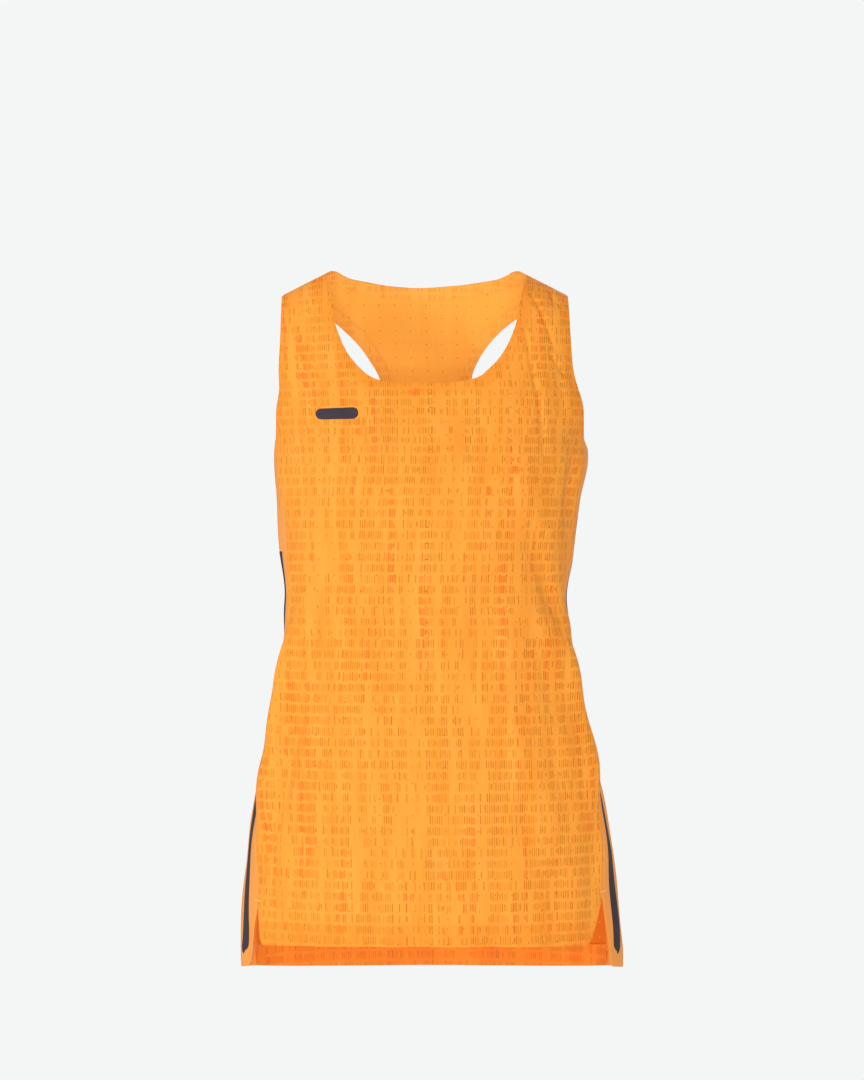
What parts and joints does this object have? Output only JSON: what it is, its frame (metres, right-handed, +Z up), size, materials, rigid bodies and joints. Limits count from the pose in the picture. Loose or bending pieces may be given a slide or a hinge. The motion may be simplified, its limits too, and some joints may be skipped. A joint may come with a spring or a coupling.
{
  "type": "running singlet",
  "caption": "Sleeveless running singlet with a scooped neck, racerback and side slits, in its worn hollow form.",
  "frame": {"origin": "midway between the undersides of the two shoulder straps, where the wearer's shoulders hold the garment", "axes": "+X to the wearer's left, -Y out of the front, +Z up"},
  "size_m": [0.3513, 0.2415, 0.6529],
  "materials": {
    "front_knit": "matt perforated jacquard knit, orange with darker dashes",
    "back_knit": "matt perforated jacquard knit, orange with darker dashes",
    "side_knit": "matt fine plain knit, light orange, with a dark bonded band"
  },
  "bodies": {
    "root": {"front_panel": "front_knit", "back_panel": "back_knit", "side_panel_left": "side_knit", "side_panel_right": "side_knit"}
  },
  "joints": []
}
